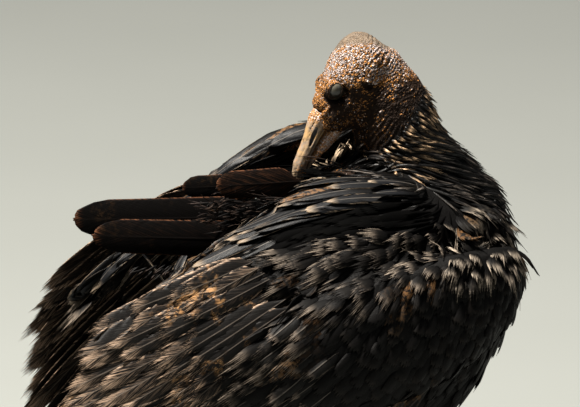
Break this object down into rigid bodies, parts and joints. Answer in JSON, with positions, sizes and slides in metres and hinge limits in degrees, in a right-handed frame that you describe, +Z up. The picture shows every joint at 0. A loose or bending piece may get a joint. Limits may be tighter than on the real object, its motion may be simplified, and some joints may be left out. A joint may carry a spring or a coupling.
{
  "type": "black vulture",
  "caption": "Life-size still model of a black vulture that stands and preens, its head turned back and its bill among raised shoulder feathers.",
  "frame": {"origin": "on the floor, under the middle of the whole bird's bounding box", "axes": "+X the way the breast faces, +Y the bird's left, +Z up"},
  "size_m": [0.3626, 0.236, 0.4718],
  "materials": {
    "plumage": "matte black-brown body feathers with pale worn edges and dried mud",
    "flight_feathers": "satin brown-black vanes with pale shafts",
    "bare_skin": "wrinkled, warty skin with dried tan mud",
    "horn": "satin horn, mud-stained",
    "eye": "wet gloss",
    "leg_skin": "scaly, chalk-grey",
    "claw": "satin dark horn"
  },
  "bodies": {
    "root": {"bill_lower": "horn", "bill_upper": "horn", "claw_hind_left": "claw", "claw_hind_right": "claw", "claw_inner_left": "claw", "claw_inner_right": "claw", "claw_middle_left": "claw", "claw_middle_right": "claw", "claw_outer_left": "claw", "claw_outer_right": "claw", "eye_left": "eye", "eye_right": "eye", "flight_feathers_left": "flight_feathers", "flight_feathers_right": "flight_feathers", "foot_left": "leg_skin", "foot_right": "leg_skin", "head": "bare_skin", "mantle": "plumage", "neck": "plumage", "primaries_left": "flight_feathers", "primaries_right": "flight_feathers", "raised_feather_1": "flight_feathers", "raised_feather_2": "flight_feathers", "raised_feather_3": "flight_feathers", "raised_feather_4": "flight_feathers", "scapulars_left": "plumage", "scapulars_right": "plumage", "shank_left": "leg_skin", "shank_right": "leg_skin", "tail": "flight_feathers", "tail_coverts": "plumage", "thigh_left": "plumage", "thigh_right": "plumage", "toe_hind_left": "leg_skin", "toe_hind_right": "leg_skin", "toe_inner_left": "leg_skin", "toe_inner_right": "leg_skin", "toe_middle_left": "leg_skin", "toe_middle_right": "leg_skin", "toe_outer_left": "leg_skin", "toe_outer_right": "leg_skin", "trunk": "plumage", "wing_arm_left": "plumage", "wing_arm_right": "plumage"}
  },
  "joints": []
}
